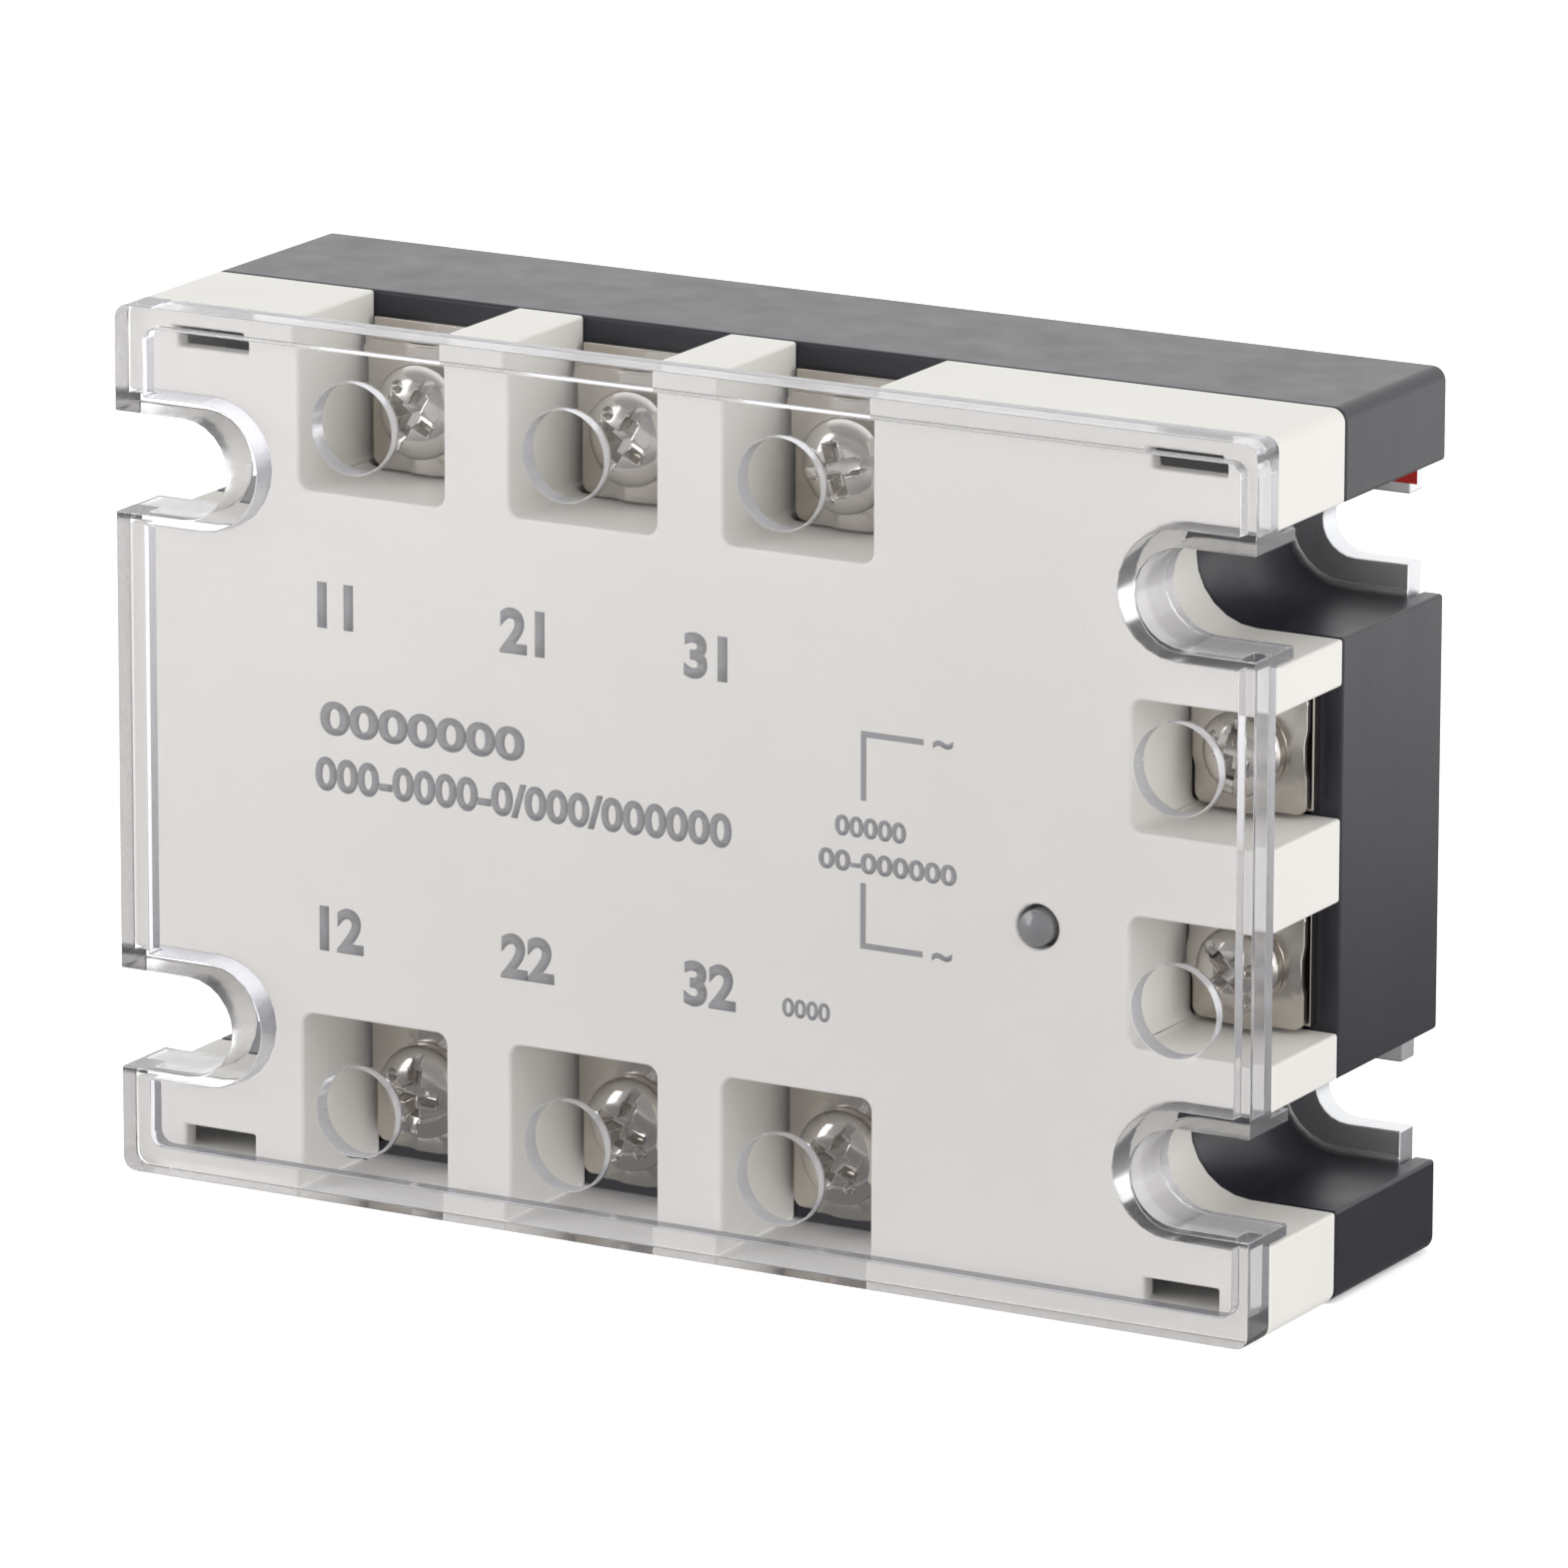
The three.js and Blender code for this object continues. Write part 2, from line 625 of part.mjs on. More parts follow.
// A moulded body on the board with two rows of short pins.
function pinnedBody(name, x, z, { width, length, height, pins }, material) {
  const back = boardFront - bodyStandOff;
  const body = block(x - width / 2, x + width / 2, z - length / 2, z + length / 2, back - height, back);
  const legs = [];
  for (const side of [-1, 1]) {
    for (let index = 0; index < pins; index += 1) {
      const px = x + (index - (pins - 1) / 2) * wirePitch;
      const pz = z + side * (length / 2 - wireWidth / 2);
      legs.push(post(px, pz, wireWidth, back - height / 2, boardFront));
    }
  }
  return piece(name, join(body, ...legs), material);
}

function boardParts() {
  const upper = middleHeight + boardHalf * upperRowShare;
  const lower = middleHeight - boardHalf * lowerRowShare;
  const optocouplers = [0, 1, 2].map((phase) =>
    pinnedBody(`optocoupler_${phase + 1}`, phaseX(phase), upper, optocoupler, mouldedBlack));
  return [
    ...optocouplers,
    pinnedBody("bridge_rectifier", phaseX(1), lower, bridge, mouldedBlack),
    pinnedBody("film_capacitor", phaseX(0) + capacitorShift, lower, capacitor, filmBox),
    pinnedBody("dropping_resistor", phaseX(2), lower, resistor, resistorCoat),
  ];
}

// ---- Assembly ----
const relay = new THREE.Group();
relay.add(basePlate(), lowerCase(), upperHousing(), clearCover(), driverBoard(), indicator());
relay.add(...boardParts());
for (const phase of [0, 1, 2]) {
  relay.add(...phaseParts(phase));
}
for (const terminal of terminals) {
  relay.add(busbar(terminal), nut(terminal), clampPlate(terminal), terminalScrew(terminal));
}

export default relay;
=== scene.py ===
import json
import math

import bmesh
import bpy
from mathutils import Matrix, Vector

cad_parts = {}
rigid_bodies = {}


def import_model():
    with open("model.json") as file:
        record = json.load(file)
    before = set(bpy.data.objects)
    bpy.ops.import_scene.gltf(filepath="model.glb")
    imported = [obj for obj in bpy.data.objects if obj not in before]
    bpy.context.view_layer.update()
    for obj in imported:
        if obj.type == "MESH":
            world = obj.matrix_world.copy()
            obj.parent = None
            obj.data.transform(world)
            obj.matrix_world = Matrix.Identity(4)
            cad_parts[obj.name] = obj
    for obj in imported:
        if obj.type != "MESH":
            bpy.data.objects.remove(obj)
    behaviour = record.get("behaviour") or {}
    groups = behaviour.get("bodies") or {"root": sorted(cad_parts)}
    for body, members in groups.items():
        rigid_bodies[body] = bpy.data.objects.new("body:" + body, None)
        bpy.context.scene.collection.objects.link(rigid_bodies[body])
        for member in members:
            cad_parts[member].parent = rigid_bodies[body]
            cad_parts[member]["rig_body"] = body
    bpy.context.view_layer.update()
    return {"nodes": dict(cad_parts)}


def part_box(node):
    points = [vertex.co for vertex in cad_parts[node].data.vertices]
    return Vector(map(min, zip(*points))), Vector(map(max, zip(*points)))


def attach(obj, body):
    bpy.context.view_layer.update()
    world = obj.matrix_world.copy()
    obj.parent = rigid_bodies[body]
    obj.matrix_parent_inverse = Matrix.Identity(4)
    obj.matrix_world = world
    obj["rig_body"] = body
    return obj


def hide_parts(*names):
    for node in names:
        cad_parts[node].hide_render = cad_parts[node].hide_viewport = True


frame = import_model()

mm = 0.001
print("frame loaded")

terminalNames = ["line_1", "line_2", "line_3", "load_1", "load_2", "load_3", "input_1", "input_2"]
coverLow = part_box("clear_cover")[0]
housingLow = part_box("upper_housing")[0]
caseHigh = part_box("lower_case")[1]
plateLow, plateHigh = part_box("base_plate")
frontFace = housingLow.y  # the ivory housing's front
bottomEdge = coverLow.z
leftEdge = coverLow.x


class Socket:
    # wraps a shader socket so that values can be worked out with plain operators
    def __init__(self, maker, output):
        self.maker = maker
        self.output = output

    def math(self, operation, other=None, swapped=False):
        first, second = (other, self) if swapped else (self, other)
        inputs = [first] if other is None else [first, second]
        return self.maker.node("ShaderNodeMath", {"operation": operation}, inputs)

    def __add__(self, other):
        return self.math("ADD", other)

    def __sub__(self, other):
        return self.math("SUBTRACT", other)

    def __mul__(self, other):
        return self.math("MULTIPLY", other)

    def __rsub__(self, other):
        return self.math("SUBTRACT", other, swapped=True)

    __radd__ = __add__
    __rmul__ = __mul__


class Finish:
    # one material, or the world round the object, and the nodes in it
    def __init__(self, name, world=None):
        self.material = world or bpy.data.materials.new(name)
        self.material.use_nodes = True
        self.tree = self.material.node_tree
        self.tree.nodes.clear()
        self.target = self.tree.nodes.new("ShaderNodeOutputWorld" if world else "ShaderNodeOutputMaterial")
        self.coords = self.node("ShaderNodeTexCoord", output="Generated" if world else "Object")

    def node(self, kind, settings=None, inputs=None, output=0):
        made = self.tree.nodes.new(kind)
        for key, value in (settings or {}).items():
            if key == "stops":
                self.setStops(made.color_ramp, value)
            else:
                setattr(made, key, value)
        pairs = inputs.items() if isinstance(inputs, dict) else enumerate(inputs or [])
        for key, value in pairs:
            if isinstance(value, Socket):
                self.tree.links.new(value.output, made.inputs[key])
            else:
                made.inputs[key].default_value = value
        return Socket(self, made.outputs[output])

    def setStops(self, ramp, stops):
        while len(ramp.elements) < len(stops):
            ramp.elements.new(0.5)
        for element, (place, value) in zip(ramp.elements, stops):
            element.position = place
            element.color = (value, value, value, 1)

    def noise(self, scale, detail=3, roughness=0.5, stretch=(1, 1, 1)):
        place = self.node("ShaderNodeMapping", None, {"Vector": self.coords, "Scale": stretch})
        return self.node("ShaderNodeTexNoise", None,
                         {"Vector": place, "Scale": scale, "Detail": detail, "Roughness": roughness})

    def ramp(self, value, *stops):
        return self.node("ShaderNodeValToRGB", {"stops": stops}, {"Fac": value})

    def mix(self, factor, first, second):
        # A, B and the result are the colour sockets of the Mix node
        return self.node("ShaderNodeMix", {"data_type": "RGBA"}, {0: factor, 6: first, 7: second}, output=2)

    def bump(self, height, strength, distance):
        return self.node("ShaderNodeBump", None,
                         {"Height": height, "Strength": strength, "Distance": distance})

    def surface(self, shader):
        self.tree.links.new(shader.output, self.target.inputs["Surface"])
        return self.material

    def principled(self, **inputs):
        named = {key.replace("_", " "): value for key, value in inputs.items()}
        return self.node("ShaderNodeBsdfPrincipled", None, named)


def shade(r, g, b):
    return (r, g, b, 1)


ivory = {
    "light": shade(0.86, 0.84, 0.795),
    "dark": shade(0.80, 0.78, 0.735),
    "roughness": 0.42,
    "grain": 2600,
    "grainDepth": 0.02 * mm,
}


def ivoryPlastic():
    finish = Finish("ivoryPlastic")
    cloud = finish.noise(55, 4)
    grain = finish.noise(ivory["grain"], 2)
    speck = finish.ramp(finish.noise(900, 2, 0.6), (0.74, 0), (0.80, 1))
    color = finish.mix(cloud, ivory["dark"], ivory["light"])
    color = finish.mix(speck * 0.12, color, shade(0.45, 0.40, 0.32))
    roughness = finish.noise(180, 3) * 0.14 + (ivory["roughness"] - 0.07)
    bump = finish.bump(grain, 0.18, ivory["grainDepth"])
    return finish.surface(finish.principled(
        Base_Color=color, Roughness=roughness, Normal=bump, Specular_IOR_Level=0.45))


blackCase = {
    "light": shade(0.026, 0.026, 0.035),
    "dark": shade(0.014, 0.014, 0.022),
    "roughness": 0.33,
    "grain": 2300,
    "peel": 620,
}


def blackPlastic():
    finish = Finish("blackPlastic")
    cloud = finish.noise(90, 4)
    grain = finish.noise(blackCase["grain"], 2, 0.6)
    peel = finish.noise(blackCase["peel"], 3, 0.55)
    streak = finish.noise(260, 3, 0.55, (1, 1, 0.12))
    dust = finish.ramp(finish.noise(1700, 2, 0.7), (0.775, 0), (0.80, 1))
    color = finish.mix(cloud, blackCase["dark"], blackCase["light"])
    color = finish.mix(dust * 0.5, color, shade(0.30, 0.30, 0.31))
    roughness = streak * 0.16 + (blackCase["roughness"] - 0.08)
    bump = finish.bump(grain * 0.35 + peel, 0.35, 0.03 * mm)
    return finish.surface(finish.principled(
        Base_Color=color, Roughness=roughness, Normal=bump, Specular_IOR_Level=0.55))


clear = {
    "tint": shade(0.975, 0.972, 0.985),
    "edgeTint": shade(0.95, 0.945, 0.975),
    "edgeRoughness": 0.16,
    "edgeClarity": 0.93,
    "holeRoughness": 0.24,
    "holeClarity": 0.5,
    "holeReach": 5 * mm,  # walls this close to a screw's middle are those of a driver hole
    "refraction": 1.49,
    "shadow": shade(0.95, 0.95, 0.96),
}


def clearToLamps(finish, body):
    # lamps shine straight through, so that what the cover hides is lit
    lamps = finish.node("ShaderNodeLightPath", output="Is Shadow Ray")
    through = finish.node("ShaderNodeBsdfTransparent", None, {"Color": clear["shadow"]})
    return finish.surface(finish.node("ShaderNodeMixShader", None, [lamps, body, through]))


def clearPlastic():
    finish = Finish("clearPlastic")
    haze = finish.ramp(finish.noise(120, 4, 0.6), (0.45, 0.012), (0.75, 0.04))
    wave = finish.bump(finish.noise(60, 2), 0.05, 0.02 * mm)
    return clearToLamps(finish, finish.principled(
        Base_Color=clear["tint"], Roughness=haze, Normal=wave,
        Transmission_Weight=1.0, IOR=clear["refraction"]))


def clearEdge(name, edgeRoughness, edgeClarity):
    # the cover's cut and moulded edges gather light and look milky
    finish = Finish(name)
    streak = finish.noise(900, 3, 0.55, (1, 0.25, 1))
    roughness = streak * 0.2 + (edgeRoughness - 0.10)
    drawn = finish.bump(streak, 0.3, 0.02 * mm)
    tint = finish.mix(streak, shade(0.86, 0.855, 0.90), clear["edgeTint"])
    return clearToLamps(finish, finish.principled(
        Base_Color=tint, Roughness=roughness, Normal=drawn,
        Transmission_Weight=edgeClarity, IOR=clear["refraction"]))


def metal(name, light, dark, roughness, streak=(1, 1, 1), depth=0.004, streakScale=700):
    # plated or brushed metal: the streak stretches its fine lines along one axis
    finish = Finish(name)
    cloud = finish.noise(160, 4)
    lines = finish.noise(streakScale, 3, 0.6, streak)
    spots = finish.ramp(finish.noise(420, 3, 0.55), (0.60, 0), (0.72, 1))
    color = finish.mix(cloud, dark, light)
    color = finish.mix(spots * 0.25, color, dark)
    rough = lines * 0.14 + spots * 0.10 + (roughness - 0.07)
    bump = finish.bump(lines, 0.25, depth * mm)
    return finish.surface(finish.principled(
        Base_Color=color, Metallic=1.0, Roughness=rough, Normal=bump))


def plain(name, light, dark, roughness, metallic=0.0, scale=400):
    # moulded, fired or coated parts inside the case
    finish = Finish(name)
    cloud = finish.noise(scale, 4)
    color = finish.mix(cloud, dark, light)
    bump = finish.bump(finish.noise(scale * 6, 2), 0.2, 0.02 * mm)
    return finish.surface(finish.principled(
        Base_Color=color, Metallic=metallic, Roughness=cloud * 0.15 + (roughness - 0.07), Normal=bump))


def greyLens():
    finish = Finish("greyLens")
    cloud = finish.noise(500, 3)
    color = finish.mix(cloud, shade(0.20, 0.20, 0.205), shade(0.27, 0.27, 0.275))
    return finish.surface(finish.principled(
        Base_Color=color, Roughness=cloud * 0.08 + 0.10, Coat_Weight=0.6, Coat_Roughness=0.05))


def ink(name, light, dark):
    finish = Finish(name)
    wear = finish.noise(1500, 3, 0.6)
    color = finish.mix(wear, dark, light)
    return finish.surface(finish.principled(
        Base_Color=color, Roughness=wear * 0.15 + 0.45, Specular_IOR_Level=0.3))


finishes = {
    "ivory": ivoryPlastic(),
    "black": blackPlastic(),
    "clear": clearPlastic(),
    "clearEdge": clearEdge("clearEdge", clear["edgeRoughness"], clear["edgeClarity"]),
    "holeEdge": clearEdge("holeEdge", clear["holeRoughness"], clear["holeClarity"]),
    "plate": metal(
        "aluminiumPlate", shade(0.86, 0.87, 0.88), shade(0.74, 0.75, 0.77), 0.38, (1, 1, 0.06), 0.006),
    "nickel": metal(
        "nickelPlate", shade(0.70, 0.66, 0.61), shade(0.50, 0.465, 0.42), 0.17, (1, 1, 0.4), 0.003, 420),
    "screw": metal(
        "nickelScrew", shade(0.74, 0.71, 0.675), shade(0.56, 0.53, 0.49), 0.12, (1, 1, 1), 0.002, 500),
    "steel": metal("zincSteel", shade(0.70, 0.70, 0.70), shade(0.52, 0.52, 0.53), 0.32),
    "tinned": metal("tinnedPin", shade(0.80, 0.80, 0.78), shade(0.65, 0.65, 0.63), 0.3),
    "board": plain("boardResin", shade(0.05, 0.24, 0.09), shade(0.03, 0.16, 0.06), 0.4),
    "lens": greyLens(),
    "ceramic": plain("ceramicWhite", shade(0.86, 0.85, 0.80), shade(0.78, 0.77, 0.72), 0.55),
    "silicon": plain("siliconChip", shade(0.10, 0.10, 0.13), shade(0.05, 0.05, 0.07), 0.25, 0.5),
    "moulded": plain("mouldedBlack", shade(0.02, 0.02, 0.02), shade(0.012, 0.012, 0.012), 0.5),
    "film": plain("filmBox", shade(0.62, 0.40, 0.06), shade(0.50, 0.31, 0.04), 0.45),
    "lacquer": plain("resistorLacquer", shade(0.26, 0.40, 0.37), shade(0.18, 0.29, 0.27), 0.5),
    "ink": ink("greyInk", shade(0.37, 0.37, 0.375), shade(0.29, 0.29, 0.295)),
    "red": ink("redPaint", shade(0.62, 0.03, 0.02), shade(0.42, 0.015, 0.012)),
}
print("finishes made")


def newPiece(name, bm, material, body, slot, *replaced):
    # every new piece ends here: a mesh at the origin that rides on a body
    mesh = bpy.data.meshes.new(name)
    bm.to_mesh(mesh)
    bm.free()
    piece = bpy.data.objects.new(name, mesh)
    bpy.context.scene.collection.objects.link(piece)
    mesh.materials.append(material)
    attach(piece, body)
    if replaced:
        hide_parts(*replaced)
    return piece


def smoothFaces(mesh, angle=35):
    mesh.shade_smooth()
    mesh.set_sharp_from_angle(angle=math.radians(angle))


def evenNormals(piece):
    # large flat faces stay flat beside their small rounded edges
    modifier = piece.modifiers.new("evenNormals", "WEIGHTED_NORMAL")
    modifier.keep_sharp = True
    modifier.weight = 100
    return piece


def roundEdges(bm, width, segments, angle):
    edges = [e for e in bm.edges if len(e.link_faces) == 2 and e.calc_face_angle() > math.radians(angle)]
    bmesh.ops.bevel(
        bm, geom=edges, offset=width, offset_type="OFFSET", segments=segments, profile=0.5,
        affect="EDGES", clamp_overlap=False, loop_slide=True, material=-1)


def wholeFaces(node):
    # the node's solid with its triangles merged back into whole flat faces
    bm = bmesh.new()
    bm.from_mesh(frame["nodes"][node].data)
    bmesh.ops.remove_doubles(bm, verts=bm.verts, dist=0.002 * mm)
    bmesh.ops.dissolve_limit(
        bm, angle_limit=math.radians(0.6), use_dissolve_boundaries=False, verts=bm.verts, edges=bm.edges)
    return bm


def nearScrew(place):
    for terminal in terminalNames:
        low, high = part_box(f"{terminal}_screw")
        if math.hypot(place.x - (low.x + high.x) / 2, place.z - (low.z + high.z) / 2) < clear["holeReach"]:
            return True
    return False


def finishedShell(name, node, material, slot, width, segments=2, angle=28, sideMaterials=()):
    bm = wholeFaces(node)
    if sideMaterials:
        # walls that stand along the depth take the second material, and those of holes the third
        bm.normal_update()
        for face in bm.faces:
            if abs(face.normal.y) < 0.5:
                face.material_index = 2 if nearScrew(face.calc_center_median()) else 1
    if node == "clear_cover":
        # a hair of air stays under the rim, so that light gets out of the plastic there
        resting = [v for v in bm.verts if abs(v.co.y - frontFace) < 0.01 * mm]
        bmesh.ops.translate(bm, vec=(0, -0.05 * mm, 0), verts=resting)
    roundEdges(bm, width, segments, angle)
    bmesh.ops.remove_doubles(bm, verts=bm.verts, dist=0.0005 * mm)
    body = frame["nodes"][node]["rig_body"]
    piece = newPiece(name, bm, material, body, slot, node)
    for sideMaterial in sideMaterials:
        piece.data.materials.append(sideMaterial)
    smoothFaces(piece.data, 33)
    return evenNormals(piece)


edgeRadius = {
    "housing": 0.28 * mm,
    "case": 0.32 * mm,
    "cover": 0.16 * mm,
    "plate": 0.15 * mm,
    "busbar": 0.16 * mm,
    "clamp": 0.13 * mm,
}

finishedShell("housingShell", "upper_housing", finishes["ivory"], "ivory_plastic", edgeRadius["housing"], 3)
finishedShell("caseShell", "lower_case", finishes["black"], "black_plastic", edgeRadius["case"], 3)
finishedShell(
    "coverShell", "clear_cover", finishes["clear"], "clear_plastic", edgeRadius["cover"],
    sideMaterials=(finishes["clearEdge"], finishes["holeEdge"]))
finishedShell("slottedPlate", "base_plate", finishes["plate"], "aluminium", edgeRadius["plate"])
for terminal in terminalNames:
    finishedShell(
        f"{terminal}_tab", f"{terminal}_busbar", finishes["nickel"], "nickel_plate", edgeRadius["busbar"])
    finishedShell(
        f"{terminal}_saddle", f"{terminal}_clamp", finishes["nickel"], "nickel_steel", edgeRadius["clamp"])
print("shells finished")


screwHead = {
    "sides": 0.875 * mm,  # straight side under the dome of a power screw
    "fullness": 0.55,  # lower makes the dome flatter on top
    "recessArm": 0.56,  # shares of the head's radius
    "recessHalf": 0.17,
    "recessTaper": 0.72,
    "recessDepth": 0.66,  # shares of the head's height
    "slotDepth": 0.26,
    "slotWidth": 0.85 * mm,
    "dimpleReach": 0.66,
    "dimpleRadius": 0.62 * mm,
    "dimpleDepth": 0.55 * mm,
    "burr": 0.07 * mm,
    "tipChamfer": 0.5 * mm,
    "domeSteps": 18,
}
powerScrew = {"headHeight": 2.5 * mm, "thread": 3.65 * mm}
inputScrew = {"headHeight": 2.3 * mm, "thread": 3.15 * mm}
screwTurns = {
    "line_1": 60, "line_2": 60, "line_3": 195,
    "load_1": 85, "load_2": 250, "load_3": 245,
    "input_1": 80, "input_2": -45,
}


def temporaryObject(bm):
    mesh = bpy.data.meshes.new("temporary")
    bm.to_mesh(mesh)
    bm.free()
    holder = bpy.data.objects.new("temporary", mesh)
    bpy.context.scene.collection.objects.link(holder)
    return holder


def carved(bm, cutters):
    # the first shape with each of the others cut away
    whole = temporaryObject(bm)
    tools = [temporaryObject(cutter) for cutter in cutters]
    for tool in tools:
        modifier = whole.modifiers.new("carve", "BOOLEAN")
        modifier.operation = "DIFFERENCE"
        modifier.solver = "EXACT"
        modifier.object = tool
    bpy.context.view_layer.update()
    result = bmesh.new()
    result.from_object(whole, bpy.context.evaluated_depsgraph_get())
    for holder in [whole] + tools:
        mesh = holder.data
        bpy.data.objects.remove(holder)
        bpy.data.meshes.remove(mesh)
    return result


def spun(profile, steps):
    # a closed round solid about Y from a profile of radius and depth that starts and ends on the axis
    bm = bmesh.new()
    verts = [bm.verts.new((radius, depth, 0)) for radius, depth in profile]
    edges = [bm.edges.new(pair) for pair in zip(verts, verts[1:])]
    bmesh.ops.spin(
        bm, geom=verts + edges, cent=(0, 0, 0), axis=(0, 1, 0), angle=math.tau, steps=steps,
        use_merge=True, use_duplicate=False)
    bmesh.ops.remove_doubles(bm, verts=bm.verts, dist=0.0005 * mm)
    bmesh.ops.recalc_face_normals(bm, faces=bm.faces)
    return bm


def crossCutter(reach, half, front, bottom, taper):
    # a plus sign that narrows towards its bottom
    corners = [(half, half), (half, reach), (-half, reach)]
    bm = bmesh.new()
    verts = []
    for quarter in range(4):
        turn = Matrix.Rotation(-quarter * math.pi / 2, 3, "Y")
        verts += [bm.verts.new(turn @ Vector((x, front, z))) for x, z in corners]
    face = bm.faces.new(verts)
    grown = bmesh.ops.extrude_face_region(bm, geom=[face])["geom"]
    moved = [v for v in grown if isinstance(v, bmesh.types.BMVert)]
    bmesh.ops.scale(bm, vec=(taper, 1, taper), verts=moved)
    bmesh.ops.translate(bm, vec=(0, bottom - front, 0), verts=moved)
    bmesh.ops.recalc_face_normals(bm, faces=bm.faces)
    return bm


def slotCutter(reach, width, front, bottom):
    bm = bmesh.new()
    bmesh.ops.create_cube(bm, size=1)
    bmesh.ops.scale(bm, vec=(2 * reach, bottom - front, width), verts=bm.verts)
    bmesh.ops.translate(bm, vec=(0, (front + bottom) / 2, 0), verts=bm.verts)
    return bm


def dimpleCutter(place, radius, front, bottom):
    # a punched dot with a sloping wall
    bm = spun([(0, bottom), (radius * 0.45, bottom), (radius, front), (0, front)], 24)
    bmesh.ops.translate(bm, vec=place, verts=bm.verts)
    return bm


def screwShape(radius, front, tip, size):
    height = size["headHeight"]
    seat = front + height
    side = screwHead["sides"] * height / powerScrew["headHeight"]
    shank = size["thread"] / 2
    chamfer = screwHead["tipChamfer"]
    profile = [(0, tip), (shank - chamfer, tip), (shank, tip - chamfer), (shank, seat),
               (radius - 0.2 * mm, seat), (radius, seat - 0.15 * mm), (radius, seat - side)]
    for step in range(1, screwHead["domeSteps"]):
        angle = step / screwHead["domeSteps"] * math.pi / 2
        profile.append((radius * math.cos(angle) ** screwHead["fullness"],
                        seat - side - (height - side) * math.sin(angle)))
    profile.append((0, front))
    before = front - 1 * mm
    reach = radius * screwHead["dimpleReach"]
    domeAtDimple = front + 0.16 * height
    dimple = (reach * math.cos(math.pi / 3), 0, reach * math.sin(math.pi / 3))
    bm = carved(spun(profile, 72), [
        crossCutter(radius * screwHead["recessArm"], radius * screwHead["recessHalf"], front,
                    front + height * screwHead["recessDepth"], screwHead["recessTaper"]),
        slotCutter(radius + 1 * mm, screwHead["slotWidth"], before, front + height * screwHead["slotDepth"]),
        dimpleCutter(dimple, screwHead["dimpleRadius"], front,
                     domeAtDimple + screwHead["dimpleDepth"]),
    ])
    bmesh.ops.remove_doubles(bm, verts=bm.verts, dist=0.004 * mm)
    roundEdges(bm, screwHead["burr"], 2, 42)
    return bm


for terminal in terminalNames:
    low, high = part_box(f"{terminal}_screw")
    size = inputScrew if terminal.startswith("input") else powerScrew
    bm = screwShape((high.x - low.x) / 2, low.y, high.y, size)
    spin = Matrix.Rotation(-math.radians(screwTurns[terminal]), 3, "Y")
    bmesh.ops.rotate(bm, cent=(0, 0, 0), matrix=spin, verts=bm.verts)
    middle = Vector(((low.x + high.x) / 2, 0, (low.z + high.z) / 2))
    bmesh.ops.translate(bm, vec=middle, verts=bm.verts)
    screw = newPiece(
        f"{terminal}_panScrew", bm, finishes["screw"], f"{terminal}_screw_body", "nickel_steel",
        f"{terminal}_screw")
    smoothFaces(screw.data, 38)
print("screws finished")


indicator = {
    "depth": 6.5 * mm,  # from the crown to the flange's back
    "domeRise": 0.35 * mm,
    "domeSteps": 7,
    "rim": 0.22 * mm,
    "rimSteps": 6,
    "flange": 1 * mm,
    "flangeStep": 0.3 * mm,
    "legPitch": 2.54 * mm,
    "legWidth": 0.5 * mm,
}


def indicatorLens():
    low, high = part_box("indicator_led")
    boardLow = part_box("driver_board")[0]
    flangeRadius = (high.x - low.x) / 2
    radius = flangeRadius - indicator["flangeStep"]
    base = low.y + indicator["depth"]
    rim = indicator["rim"]
    shoulder = low.y + indicator["domeRise"]
    profile = [(0, base), (flangeRadius, base), (flangeRadius, base - indicator["flange"]),
               (radius, base - indicator["flange"]), (radius, shoulder + rim)]
    for step in range(1, indicator["rimSteps"]):
        angle = step / indicator["rimSteps"] * math.pi / 2
        profile.append((radius - rim * (1 - math.cos(angle)), shoulder + rim * (1 - math.sin(angle))))
    for step in range(indicator["domeSteps"]):
        share = 1 - step / indicator["domeSteps"]
        profile.append(((radius - rim) * share, low.y + indicator["domeRise"] * share * share))
    profile.append((0, low.y))
    bm = spun(profile, 48)
    for side in (-1, 1):
        leg = bmesh.ops.create_cube(bm, size=1)["verts"]
        length = boardLow.y - base
        bmesh.ops.scale(bm, vec=(indicator["legWidth"], length, indicator["legWidth"]), verts=leg)
        bmesh.ops.translate(bm, vec=(side * indicator["legPitch"] / 2, base + length / 2, 0), verts=leg)
    middle = Vector(((low.x + high.x) / 2, 0, (low.z + high.z) / 2))
    bmesh.ops.translate(bm, vec=middle, verts=bm.verts)
    lens = newPiece("indicatorLens", bm, finishes["lens"], "relay_body", "grey_lens", "indicator_led")
    smoothFaces(lens.data, 40)


indicatorLens()
print("indicator finished")


marks = {
    "film": 0.012 * mm,  # the ink's thickness, with its back sunk in the face
    "numberHeight": 3.85 * mm,
    "numberWeight": 0.042,  # how far each stroke is thickened, in text units
    "numberColumns": (19.1, 37.2, 54.2),
    "upperRow": 49.7,
    "lowerRow": 22.4,
    "bracketWidth": 0.5 * mm,
    "bracketX": 68.4,
    "bracketEnd": 73.85,
    "waveX": 75.6,
    "waveHeight": 0.8 * mm,
    "waveWeight": 0.03,
}


paint = {
    "x": 102.4,
    "z": 64.9,
    "width": 2.6 * mm,
    "height": 1.5 * mm,
    "face": plateLow.y,
}


def across(x):
    return leftEdge + x * mm


def up(z):
    return bottomEdge + z * mm


